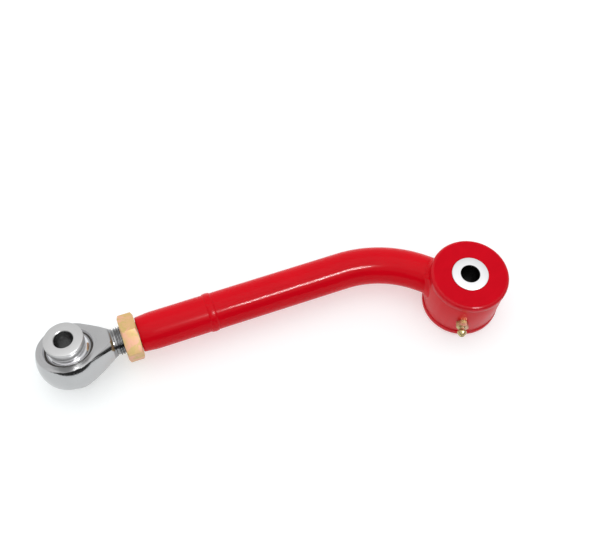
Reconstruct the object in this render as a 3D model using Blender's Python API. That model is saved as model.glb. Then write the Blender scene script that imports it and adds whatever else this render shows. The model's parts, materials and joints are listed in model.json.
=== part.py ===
"""Adjustable control arm with a greasable bushing at one end and a spherical rod end at the other.

Units are metres with +Z up. The straight tube runs along X with the rod end at -X. The tube bends
towards -Y and ends in the bushing at +X, whose axis is vertical. The rod end is screwed in to a
clocking angle about X, and its ball leans a little within it. The origin is the centre of the
bounding box's lowest face: the lower spacer's rim stands at Z = 0.
"""

from math import acos, asin, cos, pi, radians, sin, sqrt, tau

import bmesh
import bpy
from mathutils import Matrix, Vector

MM = 0.001
CLEARANCE = 0.3 * MM              # between pieces that touch or run on each other
MERGE_DISTANCE = 0.01 * MM

# Tube
TUBE_RADIUS = 12.7 * MM           # 1 inch outside diameter
TUBE_WALL = 3.175 * MM
STRAIGHT_LENGTH = 190.0 * MM      # rod end centre to the start of the bend
BEND_RADIUS = 77.7 * MM           # of the tube's centre line
BEND_ANGLE = radians(41.6)
BUSHING_REACH = 31.2 * MM         # end of the bend to the bushing's axis
BEND_STEPS = 14
TUBE_SIDES = 36

# Threaded bung: distances along the tube's axis are from the rod end's centre
BUNG_START = 45.5 * MM
BUNG_TAPER_LENGTH = 8.0 * MM
BUNG_NOSE_RADIUS = 11.5 * MM
BUNG_WELD_AT = 94.8 * MM
BUNG_SPIGOT_LENGTH = 9.0 * MM
BUNG_SPIGOT_RADIUS = 9.2 * MM
BUNG_DRILL_RADIUS = 5.0 * MM      # beyond the thread
BUNG_THREAD_END = BUNG_WELD_AT - 8.0 * MM
BUNG_DRILL_CONE = 2.4 * MM
BUNG_NOSE_ROUND = 0.4 * MM
BUNG_MOUTH_CHAMFER = 0.6 * MM
WELD_HALF_WIDTH = 2.6 * MM
WELD_ROOT_RADIUS = 10.4 * MM
WELD_CROWN = 0.6 * MM

# Bushing
SHELL_RADIUS = 26.0 * MM
SHELL_WALL = 3.2 * MM
SHELL_HALF_HEIGHT = 14.5 * MM
FLANGE_RADIUS = 26.5 * MM
FLANGE_TOP = 20.35 * MM           # above the tube's centre line
FLANGE_TOP_ROUND = 2.4 * MM
FLANGE_LOW_ROUND = 0.5 * MM
HALF_GAP = 1.0 * MM               # grease space on each side of the middle
BARREL_CHAMFER = 1.0 * MM
SLEEVE_RADIUS = 12.35 * MM
SLEEVE_HALF_LENGTH = 20.65 * MM
SLEEVE_BORE_RADIUS = 6.25 * MM    # for an M12 bolt
FLAT_CHAMFER = 0.4 * MM
SHELL_WELD_LEG = 1.5 * MM

# Grease fitting, on the shell's outer side
FITTING_AZIMUTH = radians(-117.6)
FITTING_DROP = 1.0 * MM
FITTING_THREAD_RADIUS = 3.0 * MM
FITTING_HEX_FLATS = 7.2 * MM
FITTING_HEX_HEIGHT = 4.0 * MM
FITTING_HEX_CHAMFER = 0.3 * MM
FITTING_LENGTH = 10.4 * MM        # from the shell to the tip
FITTING_TIP_RADIUS = 1.4 * MM
FITTING_TIP_ROUND = 0.8 * MM
FITTING_HEAD_RADIUS = 3.2 * MM
FITTING_HEAD_LOW = 1.9 * MM       # above the hexagon
FITTING_HEAD_BAND = 0.7 * MM
FITTING_NECK_RADIUS = 2.4 * MM
FITTING_NECK_FLARE = 0.5 * MM
FITTING_CAVITY_RADIUS = 1.5 * MM
FITTING_LIP_RADIUS = 0.8 * MM
FITTING_LIP_DEPTH = 0.8 * MM
FITTING_FLOOR = 0.5 * MM          # carries the spring
CHECK_BALL_RADIUS = 1.1 * MM
SPRING_WIRE_RADIUS = 0.16 * MM
SPRING_RADIUS = 0.95 * MM
SPRING_TURNS = 5
SPRING_STEPS = 10                 # in each turn

# Rod end
HEAD_CLOCKING = radians(18.0)     # about the tube's axis, top away from -Y
HEAD_RADIUS = 22.8 * MM
HEAD_HALF_WIDTH = 8.75 * MM       # 0.687 inch wide
FLAT_REACH = 25.9 * MM            # how far out the sides are milled
NECK_CONE_END = 26.6 * MM
NECK_CONE_RADIUS = 10.4 * MM
NECK_RELIEF_RADIUS = 8.7 * MM
NECK_FILLET = 0.9 * MM
SHANK_RADIUS = 9.525 * MM         # 3/4 inch thread
SHANK_END = 73.5 * MM
SHANK_CHAMFER = 1.2 * MM
THREAD_START = 29.5 * MM
THREAD_CHAMFER = 0.6 * MM
RACE_RADIUS = 18.4 * MM
RACE_CHAMFER = 1.1 * MM
LINER_THICKNESS = 0.5 * MM
LINER_HALF_WIDTH = 7.6 * MM
BALL_LEAN_BACK = radians(8.6)     # of the ball's bore, towards +Y
BALL_LEAN_OUT = radians(2.0)      # towards -X
BALL_RADIUS = 16.67 * MM          # 1 5/16 inch ball
BALL_HALF_WIDTH = 11.11 * MM      # 7/8 inch wide
BALL_BORE_RADIUS = 9.525 * MM     # 3/4 inch bore

# Spacers, which reduce the ball's bore to the bolt
SPACER_HALF_LENGTH = 21.2 * MM    # both spacers together make the mounting width
SPACER_RADIUS = 12.8 * MM
SPACER_COLLAR_RADIUS = 12.1 * MM
SPACER_COLLAR_TOP = 15.4 * MM
SPACER_GROOVE_TOP = 16.2 * MM
SPACER_GROOVE_RADIUS = 11.8 * MM
SPACER_GROOVE_SLOPE = 0.3 * MM
SPACER_SEAT_RADIUS = 11.2 * MM
SPACER_TAPER_LENGTH = 3.2 * MM   # from the collar to the seat
SPACER_STEM_RADIUS = 9.2 * MM
SPACER_STEM_END = 0.6 * MM
SPACER_BORE_RADIUS = 6.25 * MM    # for an M12 bolt
ORING_AT = 6.0 * MM
ORING_RADIUS = 8.55 * MM
ORING_SECTION_RADIUS = 0.65 * MM

# Jam nut
NUT_START = 34.5 * MM
NUT_END = BUNG_START - CLEARANCE
NUT_FLATS = 28.575 * MM           # 1 1/8 inch spanner
NUT_PHASE = radians(8.4)          # of a corner, from straight up towards +Y
NUT_FACE_STEP = 0.5 * MM          # the round face is smaller than the flats
NUT_CHAMFER_SLOPE = 0.5

# Places in the part's frame
BALL_AXIS = Vector((-sin(BALL_LEAN_OUT), sin(BALL_LEAN_BACK), 1)).normalized()
MID_HEIGHT = (SPACER_HALF_LENGTH * BALL_AXIS.z
              + (SPACER_RADIUS - FLAT_CHAMFER) * sqrt(1 - BALL_AXIS.z ** 2))
SPAN_X = (STRAIGHT_LENGTH + BEND_RADIUS * sin(BEND_ANGLE)
          + BUSHING_REACH * cos(BEND_ANGLE))
SPAN_Y = (BEND_RADIUS * (1 - cos(BEND_ANGLE))
          + BUSHING_REACH * sin(BEND_ANGLE))
FITTING_TIP_DEPTH = (SHELL_RADIUS + FITTING_LENGTH) * sin(-FITTING_AZIMUTH)
ROD_END = Vector((-(HEAD_RADIUS + SPAN_X + FLANGE_RADIUS) / 2 + HEAD_RADIUS,
                  (SPAN_Y + FITTING_TIP_DEPTH - HEAD_RADIUS) / 2,
                  MID_HEIGHT))
BUSHING = ROD_END + Vector((SPAN_X, -SPAN_Y, 0))
BUSHING_DIRECTION = Vector((cos(BEND_ANGLE), -sin(BEND_ANGLE), 0))
TUBE_START = Vector((BUNG_WELD_AT + CLEARANCE, 0, 0))
ALONG_X = Matrix.Rotation(pi / 2, 4, "Y")


def clear_scene():
    for scene_object in list(bpy.data.objects):
        bpy.data.objects.remove(scene_object, do_unlink=True)


def principled(name, colour, roughness, metallic):
    material = bpy.data.materials.new(name)
    material.use_nodes = True
    shader = material.node_tree.nodes["Principled BSDF"]
    shader.inputs["Base Color"].default_value = (*colour, 1)
    shader.inputs["Roughness"].default_value = roughness
    shader.inputs["Metallic"].default_value = metallic
    return material


def empty(name, place, turn=None):
    """An empty on a joint's axis, or at a group's reference point."""
    axis = bpy.data.objects.new(name, None)
    axis.empty_display_size = 0.02
    axis.matrix_basis = Matrix.Translation(place) @ (turn or Matrix.Identity(4))
    bpy.context.collection.objects.link(axis)
    return axis


def add_object(name, mesh, material, parent, matrix=None):
    """Link a mesh under its parent empty. The matrix places it in the empty's own space."""
    mesh.shade_smooth()
    mesh.set_sharp_from_angle(angle=radians(35))
    solid = bpy.data.objects.new(name, mesh)
    if material:
        mesh.materials.append(material)
    solid.parent = parent
    if matrix:
        solid.matrix_basis = matrix
    bpy.context.collection.objects.link(solid)
    return solid


def turned(name, profile, steps, material, parent, matrix=None, ring=True):
    """Turn an outline of (radius, height) points about Z with a Screw modifier.

    A ring's outline is closed. Otherwise both ends of the outline lie on the axis.
    """
    mesh = bpy.data.meshes.new(name)
    points = [(radius, 0, height) for radius, height in profile]
    edges = [(index, index + 1) for index in range(len(points) - 1)]
    if ring:
        edges.append((len(points) - 1, 0))
    mesh.from_pydata(points, edges, [])
    solid = add_object(name, mesh, material, parent, matrix)
    screw = solid.modifiers.new("Turn", "SCREW")
    screw.axis = "Z"
    screw.angle = tau
    screw.steps = steps
    screw.render_steps = steps
    screw.use_merge_vertices = True
    screw.merge_threshold = MERGE_DISTANCE
    screw.use_smooth_shade = True
    if not ring:
        weld = solid.modifiers.new("Close ends", "WELD")
        weld.merge_threshold = MERGE_DISTANCE
    return solid


def loft(name, rings, material, parent, matrix=None, closed=True):
    """Join rings of points in order, and the last ring to the first one when closed."""
    shape = bmesh.new()
    loops = [[shape.verts.new(point) for point in ring] for ring in rings]
    pairs = list(zip(loops, loops[1:]))
    if closed:
        pairs.append((loops[-1], loops[0]))
    for first, second in pairs:
        count = len(first)
        for index in range(count):
            after = (index + 1) % count
            shape.faces.new((first[index], first[after], second[after], second[index]))
    if not closed:
        shape.faces.new(loops[0])
        shape.faces.new(reversed(loops[-1]))
    bmesh.ops.recalc_face_normals(shape, faces=shape.faces)
    mesh = bpy.data.meshes.new(name)
    shape.to_mesh(mesh)
    shape.free()
    return add_object(name, mesh, material, parent, matrix)


def drum(name, radius, depth, sides, material, parent, matrix=None):
    """A plain cylinder or prism about Z; with six sides its radius reaches the corners."""
    shape = bmesh.new()
    bmesh.ops.create_cone(shape, cap_ends=True, segments=sides, radius1=radius, radius2=radius,
                          depth=depth)
    mesh = bpy.data.meshes.new(name)
    shape.to_mesh(mesh)
    shape.free()
    return add_object(name, mesh, material, parent, matrix)


def cut(solid, cutter, operation="DIFFERENCE"):
    cutter.hide_render = True
    cutter.display_type = "WIRE"
    boolean = solid.modifiers.new("Cut " + cutter.name, "BOOLEAN")
    boolean.operation = operation
    boolean.solver = "EXACT"
    boolean.object = cutter


def arc(centre, radius, start, end, steps):
    """Points on an arc of a (radius, height) outline, angles from the radius direction."""
    points = []
    for index in range(steps + 1):
        angle = start + (end - start) * index / steps
        points.append((centre[0] + radius * cos(angle), centre[1] + radius * sin(angle)))
    return points


def circle(centre, across, upward, radius, sides):
    """A ring of points about a centre, in the plane of two unit vectors."""
    ring = []
    for index in range(sides):
        angle = tau * index / sides
        ring.append(centre + across * radius * cos(angle) + upward * radius * sin(angle))
    return ring


def tube_stations():
    """Centre and direction at each station of the tube, from its weld to the bushing."""
    stations = [(TUBE_START, Vector((1, 0, 0)))]
    for index in range(BEND_STEPS + 1):
        angle = BEND_ANGLE * index / BEND_STEPS
        place = Vector((STRAIGHT_LENGTH + BEND_RADIUS * sin(angle),
                        -BEND_RADIUS * (1 - cos(angle)), 0))
        stations.append((place, Vector((cos(angle), -sin(angle), 0))))
    return stations


def coped_ring(radius, cope_radius, sides):
    """The tube's last ring, cut to the round of the shell."""
    sideways = Vector((0, 0, 1)).cross(BUSHING_DIRECTION)
    centre = BUSHING - ROD_END
    ring = []
    for point in circle(Vector((0, 0, 0)), sideways, Vector((0, 0, 1)), radius, sides):
        aside = point.dot(sideways)
        back = sqrt(cope_radius ** 2 - aside ** 2)
        ring.append(centre - BUSHING_DIRECTION * back + point)
    return ring


def make_tube(material, parent):
    upward = Vector((0, 0, 1))
    inner_radius = TUBE_RADIUS - TUBE_WALL
    outer = []
    inner = []
    for place, direction in tube_stations():
        sideways = upward.cross(direction)
        outer.append(circle(place, sideways, upward, TUBE_RADIUS, TUBE_SIDES))
        inner.append(circle(place, sideways, upward, inner_radius, TUBE_SIDES))
    groove_foot = circle(TUBE_START, Vector((0, 1, 0)), upward, WELD_ROOT_RADIUS, TUBE_SIDES)
    lip = Vector((WELD_HALF_WIDTH, 0, 0))
    outer[0] = [point + lip for point in outer[0]]
    cope = SHELL_RADIUS + CLEARANCE
    outer.append(coped_ring(TUBE_RADIUS, cope, TUBE_SIDES))
    inner.append(coped_ring(inner_radius, cope, TUBE_SIDES))
    rings = [groove_foot] + outer + list(reversed(inner))
    return loft("arm_tube", rings, material, parent)


def make_bung(material, parent):
    bore = SHANK_RADIUS + CLEARANCE
    foot = BUNG_WELD_AT - CLEARANCE
    spigot_end = BUNG_WELD_AT + BUNG_SPIGOT_LENGTH
    nose = BUNG_NOSE_RADIUS
    profile = [
        (bore, BUNG_START + BUNG_MOUTH_CHAMFER),
        (bore, BUNG_THREAD_END),
        (BUNG_DRILL_RADIUS, BUNG_THREAD_END + BUNG_DRILL_CONE),
        (BUNG_DRILL_RADIUS, spigot_end),
        (BUNG_SPIGOT_RADIUS, spigot_end),
        (BUNG_SPIGOT_RADIUS, foot),
        (WELD_ROOT_RADIUS, foot),
        (TUBE_RADIUS, foot - WELD_HALF_WIDTH),
        (TUBE_RADIUS, BUNG_START + BUNG_TAPER_LENGTH),
        (nose + BUNG_NOSE_ROUND, BUNG_START + 2.5 * BUNG_NOSE_ROUND),
        (nose - BUNG_NOSE_ROUND, BUNG_START),
        (bore + BUNG_MOUTH_CHAMFER, BUNG_START),
    ]
    return turned("threaded_bung", profile, TUBE_SIDES, material, parent, ALONG_X)


def make_bung_weld(material, parent):
    gap = CLEARANCE
    edge = WELD_HALF_WIDTH
    profile = [
        (WELD_ROOT_RADIUS + gap, BUNG_WELD_AT),
        (TUBE_RADIUS, BUNG_WELD_AT + edge),
        (TUBE_RADIUS + WELD_CROWN * 0.75, BUNG_WELD_AT + edge * 0.55),
        (TUBE_RADIUS + WELD_CROWN, BUNG_WELD_AT),
        (TUBE_RADIUS + WELD_CROWN * 0.75, BUNG_WELD_AT - edge * 0.55),
        (TUBE_RADIUS, BUNG_WELD_AT - edge),
    ]
    return turned("bung_weld", profile, TUBE_SIDES, material, parent, ALONG_X)


def make_shell(material, parent, arm):
    inner = SHELL_RADIUS - SHELL_WALL
    profile = [
        (SHELL_RADIUS, SHELL_HALF_HEIGHT),
        (SHELL_RADIUS, -SHELL_HALF_HEIGHT),
        (inner, -SHELL_HALF_HEIGHT),
        (inner, SHELL_HALF_HEIGHT),
    ]
    shell = turned("bushing_shell", profile, 48, material, parent)
    middle = fitting_matrix() @ Matrix.Translation((0, 0, -SHELL_WALL / 2))
    cut(shell, drum("fitting_hole", FITTING_THREAD_RADIUS + CLEARANCE, 4 * SHELL_WALL, 16, None,
                    arm, middle))


def make_shell_weld(material, parent):
    """A fillet between the tube and the shell, along the line where they meet."""
    sideways = Vector((0, 0, 1)).cross(BUSHING_DIRECTION)
    centre = BUSHING - ROD_END
    near = TUBE_RADIUS + CLEARANCE
    rings = []
    for index in range(TUBE_SIDES):
        angle = tau * index / TUBE_SIDES
        outward = sideways * cos(angle) + Vector((0, 0, 1)) * sin(angle)

        def at(radius, stand_off):
            aside = radius * cos(angle)
            back = sqrt((SHELL_RADIUS + CLEARANCE) ** 2 - aside ** 2) + stand_off
            return centre - BUSHING_DIRECTION * back + outward * radius

        leg = SHELL_WELD_LEG
        rings.append([at(near, 0), at(near, leg), at(near + leg * 0.4, leg * 0.45),
                      at(near + leg, 0)])
    return loft("shell_weld", rings, material, parent)


def make_bushing_half(name, side, material, parent):
    """One half of the polyurethane bushing: a barrel in the shell and a flange against its end."""
    bore = SLEEVE_RADIUS + CLEARANCE
    barrel = SHELL_RADIUS - SHELL_WALL - CLEARANCE
    seat = SHELL_HALF_HEIGHT + CLEARANCE
    top = FLANGE_TOP_ROUND
    low = FLANGE_LOW_ROUND
    top_edge = arc((FLANGE_RADIUS - top, FLANGE_TOP - top), top, pi / 2, 0, 4)
    low_edge = arc((FLANGE_RADIUS - low, seat + low), low, 0, -pi / 2, 2)
    profile = [(bore, FLANGE_TOP)] + top_edge + low_edge
    profile += [(barrel, seat), (barrel, HALF_GAP + BARREL_CHAMFER),
                (barrel - BARREL_CHAMFER, HALF_GAP), (bore, HALF_GAP)]
    matrix = Matrix.Identity(4) if side > 0 else Matrix.Rotation(pi, 4, "X")
    return turned(name, profile, 48, material, parent, matrix)


def make_sleeve(material, parent):
    end = SLEEVE_HALF_LENGTH
    outer = SLEEVE_RADIUS
    bore = SLEEVE_BORE_RADIUS
    small = FLAT_CHAMFER
    profile = [(outer - small, end), (outer, end - small), (outer, small - end),
               (outer - small, -end), (bore + small, -end), (bore, small - end),
               (bore, end - small), (bore + small, end)]
    return turned("bushing_sleeve", profile, 48, material, parent)


def fitting_matrix():
    """Place of the grease fitting: its Z axis points out of the shell, from the shell's surface."""
    outward = Vector((cos(FITTING_AZIMUTH), sin(FITTING_AZIMUTH), 0))
    turn = Vector((0, 0, 1)).rotation_difference(outward).to_matrix().to_4x4()
    foot = BUSHING - ROD_END + outward * SHELL_RADIUS - Vector((0, 0, FITTING_DROP))
    place = Matrix.Translation(foot)
    return place @ turn


def make_fitting(material, parent):
    """Grease fitting: thread, hexagon, neck and round head, bored through for its check ball."""
    top = FITTING_LENGTH
    hex_foot = CLEARANCE
    hex_top = hex_foot + FITTING_HEX_HEIGHT
    thread_end = -SHELL_WALL + CLEARANCE / 2
    shoulder = FITTING_HEX_FLATS / 2
    head_low = hex_top + FITTING_HEAD_LOW
    cavity = FITTING_CAVITY_RADIUS
    lip = FITTING_LIP_RADIUS
    profile = [
        (FITTING_TIP_RADIUS, top),
        (FITTING_TIP_RADIUS + FITTING_TIP_ROUND, top - FITTING_TIP_ROUND),
        (FITTING_HEAD_RADIUS, head_low + 2 * FITTING_HEAD_BAND),
        (FITTING_HEAD_RADIUS, head_low + FITTING_HEAD_BAND),
        (FITTING_NECK_RADIUS, head_low),
        (FITTING_NECK_RADIUS, hex_top + FITTING_NECK_FLARE),
        (shoulder, hex_top),
        (shoulder, hex_foot),
        (FITTING_THREAD_RADIUS, hex_foot),
        (FITTING_THREAD_RADIUS, thread_end),
        (lip, thread_end),
        (lip, thread_end + FITTING_FLOOR),
        (cavity, thread_end + FITTING_FLOOR),
        (cavity, top - 2 * FITTING_LIP_DEPTH),
        (lip, top - FITTING_LIP_DEPTH),
        (lip, top),
    ]
    body = turned("grease_fitting_body", profile, 18, material, parent, fitting_matrix())
    middle = fitting_matrix() @ Matrix.Translation((0, 0, (hex_foot + hex_top) / 2))
    hex_depth = FITTING_HEX_HEIGHT - 2 * FITTING_HEX_CHAMFER
    cut(body, drum("fitting_hexagon", FITTING_HEX_FLATS / sqrt(3), hex_depth,
                   6, None, parent, middle), "UNION")
    cut(body, drum("fitting_bore", cavity, FITTING_HEX_HEIGHT + 2 * FITTING_NECK_FLARE, 18, None,
                   parent, middle))


def check_ball_height():
    """Height of the check ball's centre when it closes the lip at the fitting's tip."""
    seat_top = FITTING_LENGTH - FITTING_LIP_DEPTH
    reach = sqrt((CHECK_BALL_RADIUS + CLEARANCE / 2) ** 2 - FITTING_LIP_RADIUS ** 2)
    return seat_top - reach


def make_check_ball(material, parent):
    ball = bmesh.new()
    bmesh.ops.create_icosphere(ball, subdivisions=2, radius=CHECK_BALL_RADIUS)
    mesh = bpy.data.meshes.new("grease_fitting_ball")
    ball.to_mesh(mesh)
    ball.free()
    return add_object("grease_fitting_ball", mesh, material, parent)


def make_spring(material, parent):
    foot = FITTING_FLOOR + CLEARANCE + SPRING_WIRE_RADIUS - SHELL_WALL
    head = check_ball_height() - CHECK_BALL_RADIUS - SPRING_WIRE_RADIUS
    steps = SPRING_TURNS * SPRING_STEPS
    rings = []
    for index in range(steps + 1):
        part = index / steps
        angle = tau * SPRING_TURNS * part
        outward = Vector((cos(angle), sin(angle), 0))
        centre = outward * SPRING_RADIUS + Vector((0, 0, foot + (head - foot) * part))
        rings.append(circle(centre, outward, Vector((0, 0, 1)), SPRING_WIRE_RADIUS, 5))
    return loft("grease_fitting_spring", rings, material, parent, fitting_matrix(), closed=False)


def make_rod_end(material, parent):
    """Head, neck and shank turned about X, with milled sides and a bore for the race."""
    cone_point = Vector((NECK_CONE_END, NECK_CONE_RADIUS))
    tangent = (acos(HEAD_RADIUS / cone_point.length)
               + asin(NECK_CONE_RADIUS / cone_point.length))
    outline = [
        (0.0, SHANK_END),
        (SHANK_RADIUS - SHANK_CHAMFER, SHANK_END),
        (SHANK_RADIUS, SHANK_END - SHANK_CHAMFER),
        (SHANK_RADIUS, THREAD_START),
        (NECK_RELIEF_RADIUS, THREAD_START - THREAD_CHAMFER),
        (NECK_RELIEF_RADIUS, NECK_CONE_END + 1.5 * NECK_FILLET),
        (NECK_RELIEF_RADIUS + NECK_FILLET, NECK_CONE_END + 0.5 * NECK_FILLET),
        (NECK_CONE_RADIUS, NECK_CONE_END),
    ]
    steps = 14
    for index in range(steps):
        angle = tangent + (pi - tangent) * index / steps
        outline.append((HEAD_RADIUS * sin(angle), HEAD_RADIUS * cos(angle)))
    outline.append((0.0, -HEAD_RADIUS))
    body = turned("rod_end_body", outline, 48, material, parent, ALONG_X, ring=False)
    for side, name in ((1, "head_face_upper"), (-1, "head_face_lower")):
        cut(body, side_block(name, side, parent))
    cut(body, drum("race_bore", RACE_RADIUS + CLEARANCE, 3 * HEAD_HALF_WIDTH, 40, None, parent))


def side_block(name, side, parent):
    """The stock milled off one side of the head."""
    block = bmesh.new()
    bmesh.ops.create_cube(block, size=1)
    depth = HEAD_RADIUS
    span = 2 * FLAT_REACH
    bmesh.ops.scale(block, vec=(span, span, depth), verts=block.verts)
    lift = side * (HEAD_HALF_WIDTH + depth / 2)
    bmesh.ops.translate(block, vec=(0, 0, lift), verts=block.verts)
    mesh = bpy.data.meshes.new(name)
    block.to_mesh(mesh)
    block.free()
    return add_object(name, mesh, None, parent)


def make_race(material, parent):
    """Ring pressed into the head, with a hollow round inside for the liner and ball."""
    seat = BALL_RADIUS + LINER_THICKNESS + 2 * CLEARANCE
    face = HEAD_HALF_WIDTH
    small = RACE_CHAMFER
    rim = asin((face - small) / seat)
    opening = seat * cos(rim) + small * 0.6
    hollow = arc((0, 0), seat, -rim, rim, 8)
    profile = [(RACE_RADIUS, face), (RACE_RADIUS, -face), (opening, -face)]
    profile += hollow + [(opening, face)]
    return turned("rod_end_race", profile, 40, material, parent)


def make_liner(material, parent):
    outer = BALL_RADIUS + CLEARANCE + LINER_THICKNESS
    inner = BALL_RADIUS + CLEARANCE
    outer_angle = asin(LINER_HALF_WIDTH / outer)
    inner_angle = asin(LINER_HALF_WIDTH / inner)
    profile = arc((0, 0), outer, outer_angle, -outer_angle, 6)
    profile += arc((0, 0), inner, -inner_angle, inner_angle, 6)
    return turned("rod_end_liner", profile, 36, material, parent)


def make_ball(material, parent):
    edge = asin(BALL_HALF_WIDTH / BALL_RADIUS)
    bore = BALL_BORE_RADIUS
    small = FLAT_CHAMFER
    profile = arc((0, 0), BALL_RADIUS, edge, -edge, 12)
    profile += [(bore + small, -BALL_HALF_WIDTH), (bore, small - BALL_HALF_WIDTH),
                (bore, BALL_HALF_WIDTH - small), (bore + small, BALL_HALF_WIDTH)]
    return turned("rod_end_ball", profile, 40, material, parent)


def make_spacer(name, side, material, parent):
    """A stepped spacer: its stem fills half of the ball's bore and its collar seats on the ball."""
    seat = BALL_HALF_WIDTH + CLEARANCE
    top = SPACER_HALF_LENGTH
    small = FLAT_CHAMFER
    groove_half = ORING_SECTION_RADIUS + CLEARANCE
    groove_floor = ORING_RADIUS - ORING_SECTION_RADIUS - CLEARANCE
    profile = [
        (SPACER_RADIUS - small, top),
        (SPACER_RADIUS, top - small),
        (SPACER_RADIUS, SPACER_GROOVE_TOP),
        (SPACER_GROOVE_RADIUS, SPACER_GROOVE_TOP - SPACER_GROOVE_SLOPE),
        (SPACER_GROOVE_RADIUS, SPACER_COLLAR_TOP + SPACER_GROOVE_SLOPE),
        (SPACER_COLLAR_RADIUS, SPACER_COLLAR_TOP),
        (SPACER_COLLAR_RADIUS, seat + SPACER_TAPER_LENGTH),
        (SPACER_SEAT_RADIUS, seat),
        (SPACER_STEM_RADIUS, seat),
        (SPACER_STEM_RADIUS, ORING_AT + groove_half),
        (groove_floor, ORING_AT + groove_half),
        (groove_floor, ORING_AT - groove_half),
        (SPACER_STEM_RADIUS, ORING_AT - groove_half),
        (SPACER_STEM_RADIUS, SPACER_STEM_END + small),
        (SPACER_STEM_RADIUS - small, SPACER_STEM_END),
        (SPACER_BORE_RADIUS, SPACER_STEM_END),
        (SPACER_BORE_RADIUS, top - small),
        (SPACER_BORE_RADIUS + small, top),
    ]
    matrix = Matrix.Identity(4) if side > 0 else Matrix.Rotation(pi, 4, "X")
    return turned(name, profile, 40, material, parent, matrix)


def make_oring(name, side, material, parent):
    ring = arc((ORING_RADIUS, ORING_AT), ORING_SECTION_RADIUS, pi / 2, -3 * pi / 2, 8)[:-1]
    matrix = Matrix.Identity(4) if side > 0 else Matrix.Rotation(pi, 4, "X")
    return turned(name, ring, 32, material, parent, matrix)


def make_nut(material, parent):
    """Hexagon nut with both faces turned down to a chamfer, and a plain bore over the thread."""
    corner = NUT_FLATS / sqrt(3)
    length = NUT_END - NUT_START
    middle = Matrix.Translation(((NUT_START + NUT_END) / 2, 0, 0))
    phase = Matrix.Rotation(-NUT_PHASE - pi / 6, 4, "X")
    place = middle @ phase @ ALONG_X
    nut = drum("jam_nut", corner, length, 6, material, parent, place)
    face = NUT_FLATS / 2 - NUT_FACE_STEP
    reach = corner + NUT_FACE_STEP
    slope = (reach - face) * NUT_CHAMFER_SLOPE
    half = length / 2
    outline = [(0.0, half), (face, half), (reach, half - slope), (reach, slope - half),
               (face, -half), (0.0, -half)]
    envelope = turned("nut_chamfer", outline, 36, None, parent, place, ring=False)
    cut(nut, envelope, "INTERSECT")
    cut(nut, drum("nut_bore", SHANK_RADIUS + CLEARANCE, 2 * length, 36, None, parent, place))


def main():
    clear_scene()
    red_paint = principled("red_powder_coat", (0.62, 0.006, 0.012), 0.28, 0.0)
    poly = principled("red_polyurethane", (0.60, 0.008, 0.015), 0.45, 0.0)
    plated = principled("bright_zinc_sleeve", (0.82, 0.82, 0.84), 0.35, 1.0)
    steel = principled("machined_steel", (0.60, 0.60, 0.61), 0.25, 1.0)
    chrome = principled("chromed_ball", (0.75, 0.75, 0.76), 0.08, 1.0)
    yellow_zinc = principled("yellow_zinc", (0.78, 0.55, 0.30), 0.35, 1.0)
    rubber = principled("black_rubber", (0.02, 0.02, 0.02), 0.7, 0.0)
    liner_cloth = principled("ptfe_liner", (0.35, 0.30, 0.20), 0.8, 0.0)

    arm = empty("arm_frame", ROD_END)
    make_tube(red_paint, arm)
    make_bung(red_paint, arm)
    make_bung_weld(red_paint, arm)
    make_shell_weld(red_paint, arm)
    make_fitting(yellow_zinc, arm)
    make_spring(steel, arm)

    bushing = empty("bushing_axis", BUSHING)
    make_bushing_half("bushing_half_upper", 1, poly, bushing)
    make_bushing_half("bushing_half_lower", -1, poly, bushing)
    make_sleeve(plated, bushing)
    make_shell(red_paint, bushing, arm)

    ball_place = fitting_matrix() @ Vector((0, 0, check_ball_height()))
    make_check_ball(steel, empty("check_ball_axis", ROD_END + ball_place))

    rod_end = empty("rod_end_axis", ROD_END, Matrix.Rotation(-HEAD_CLOCKING, 4, "X"))
    make_rod_end(steel, rod_end)
    make_race(steel, rod_end)
    make_liner(liner_cloth, rod_end)
    lean = Vector((0, 0, 1)).rotation_difference(BALL_AXIS).to_matrix().to_4x4()
    ball = empty("ball_axis", ROD_END, lean)
    make_ball(chrome, ball)
    for suffix, side in (("upper", 1), ("lower", -1)):
        make_spacer("spacer_" + suffix, side, steel, ball)
        make_oring("spacer_oring_" + suffix, side, rubber, ball)
    make_nut(yellow_zinc, empty("jam_nut_axis", ROD_END))


if __name__ == "__main__":
    main()
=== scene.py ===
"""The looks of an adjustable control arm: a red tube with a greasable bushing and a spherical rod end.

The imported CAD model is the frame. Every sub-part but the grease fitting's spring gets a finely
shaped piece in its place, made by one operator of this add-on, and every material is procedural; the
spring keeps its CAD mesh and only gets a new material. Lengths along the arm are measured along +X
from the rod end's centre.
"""

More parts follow.
